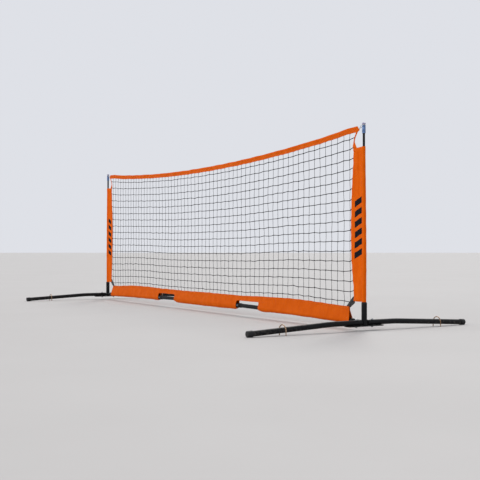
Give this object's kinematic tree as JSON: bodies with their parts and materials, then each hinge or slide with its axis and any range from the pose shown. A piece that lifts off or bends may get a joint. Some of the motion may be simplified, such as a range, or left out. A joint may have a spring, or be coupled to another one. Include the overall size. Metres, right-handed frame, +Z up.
{
  "type": "portable foot-volley net",
  "caption": "Free-standing low net: posts on folding cross feet, a sectional bottom rail and a square-mesh net in fabric edges, held by hoop pegs.",
  "frame": {"origin": "on the ground under the middle of the net, halfway between the post axes", "axes": "+X along the net towards the right post, +Y across the net to the rear, +Z up"},
  "size_m": [3.054, 1.2342, 0.934],
  "materials": {
    "powder_coat": "fine-textured satin black powder coat on steel tube",
    "black_plastic": "moulded, lightly textured",
    "fibreglass": "pultruded black rod, semi-gloss",
    "ferrule_alloy": "blue-grey anodised, satin",
    "cap_plastic": "moulded, satin",
    "zinc_steel": "zinc plated",
    "peg_wire": "drawn wire with a warm, slightly rusted tone",
    "button_steel": "blued, polished dome",
    "orange_fabric": "coated woven polyester, matt",
    "black_webbing": "woven polypropylene webbing",
    "net_twine": "twisted twine, knotted",
    "pale_cord": "braided cord"
  },
  "bodies": {
    "frame": {"foot_bracket_right": "powder_coat", "upright_socket_right": "powder_coat", "socket_bush_right": "black_plastic", "rail_stub_right": "powder_coat", "pivot_bolt_right_front": "zinc_steel", "pivot_nut_right_front": "zinc_steel", "pivot_bolt_right_rear": "zinc_steel", "pivot_nut_right_rear": "zinc_steel", "post_sleeve_right": "orange_fabric", "side_border_right": "orange_fabric", "corner_strap_right": "black_webbing", "rail_collar_right": "powder_coat", "snap_spring_right": "zinc_steel", "foot_bracket_left": "powder_coat", "upright_socket_left": "powder_coat", "socket_bush_left": "black_plastic", "rail_stub_left": "powder_coat", "pivot_bolt_left_front": "zinc_steel", "pivot_nut_left_front": "zinc_steel", "pivot_bolt_left_rear": "zinc_steel", "pivot_nut_left_rear": "zinc_steel", "post_sleeve_left": "orange_fabric", "side_border_left": "orange_fabric", "corner_strap_left": "black_webbing", "rail_collar_left": "powder_coat", "snap_spring_left": "zinc_steel", "rail_tube_right": "powder_coat", "rail_tube_centre": "powder_coat", "rail_tube_left": "powder_coat", "bottom_band": "orange_fabric", "top_tape": "orange_fabric", "headline_cord": "pale_cord", "net_panel": "net_twine"},
    "leg_right_front": {"leg_right_front": "powder_coat", "leg_cap_right_front": "black_plastic"},
    "peg_right_front": {"ground_peg_right_front": "peg_wire"},
    "leg_right_rear": {"leg_right_rear": "powder_coat", "leg_cap_right_rear": "black_plastic"},
    "peg_right_rear": {"ground_peg_right_rear": "peg_wire"},
    "pole_right": {"pole_rod_right": "fibreglass", "pole_ferrule_right": "ferrule_alloy", "pole_cap_right": "cap_plastic", "top_loop_right": "pale_cord"},
    "button_right": {"snap_button_right": "button_steel"},
    "leg_left_front": {"leg_left_front": "powder_coat", "leg_cap_left_front": "black_plastic"},
    "peg_left_front": {"ground_peg_left_front": "peg_wire"},
    "leg_left_rear": {"leg_left_rear": "powder_coat", "leg_cap_left_rear": "black_plastic"},
    "peg_left_rear": {"ground_peg_left_rear": "peg_wire"},
    "pole_left": {"pole_rod_left": "fibreglass", "pole_ferrule_left": "ferrule_alloy", "pole_cap_left": "cap_plastic", "top_loop_left": "pale_cord"},
    "button_left": {"snap_button_left": "button_steel"}
  },
  "joints": [
    {"name": "leg_right_front_fold", "type": "hinge", "parent": "frame", "child": "leg_right_front", "pos_m": [1.5, -0.045, 0.036], "axis": [0, 0, 1], "range_deg": [0, 90]},
    {"name": "leg_right_rear_fold", "type": "hinge", "parent": "frame", "child": "leg_right_rear", "pos_m": [1.5, 0.045, 0.036], "axis": [0, 0, -1], "range_deg": [0, 90]},
    {"name": "leg_left_front_fold", "type": "hinge", "parent": "frame", "child": "leg_left_front", "pos_m": [-1.5, -0.045, 0.036], "axis": [0, 0, -1], "range_deg": [0, 90]},
    {"name": "leg_left_rear_fold", "type": "hinge", "parent": "frame", "child": "leg_left_rear", "pos_m": [-1.5, 0.045, 0.036], "axis": [0, 0, 1], "range_deg": [0, 90]},
    {"name": "peg_right_front_pull", "type": "slide", "parent": "leg_right_front", "child": "peg_right_front", "axis": [0, 0, 1], "range_m": [0, 0.11]},
    {"name": "peg_right_rear_pull", "type": "slide", "parent": "leg_right_rear", "child": "peg_right_rear", "axis": [0, 0, 1], "range_m": [0, 0.11]},
    {"name": "peg_left_front_pull", "type": "slide", "parent": "leg_left_front", "child": "peg_left_front", "axis": [0, 0, 1], "range_m": [0, 0.11]},
    {"name": "peg_left_rear_pull", "type": "slide", "parent": "leg_left_rear", "child": "peg_left_rear", "axis": [0, 0, 1], "range_m": [0, 0.11]},
    {"name": "pole_right_lift", "type": "slide", "parent": "frame", "child": "pole_right", "axis": [0, 0, 1], "range_m": [0, 0.1], "deforming": ["top_loop_right"]},
    {"name": "pole_left_lift", "type": "slide", "parent": "frame", "child": "pole_left", "axis": [0, 0, 1], "range_m": [0, 0.1], "deforming": ["top_loop_left"]},
    {"name": "button_right_press", "type": "slide", "parent": "frame", "child": "button_right", "axis": [0, 1, 0], "range_m": [0, 0.004], "stiffness_N_per_m": 600, "springref_m": -0.002, "deforming": ["snap_spring_right"]},
    {"name": "button_left_press", "type": "slide", "parent": "frame", "child": "button_left", "axis": [0, 1, 0], "range_m": [0, 0.004], "stiffness_N_per_m": 600, "springref_m": -0.002, "deforming": ["snap_spring_left"]}
  ]
}
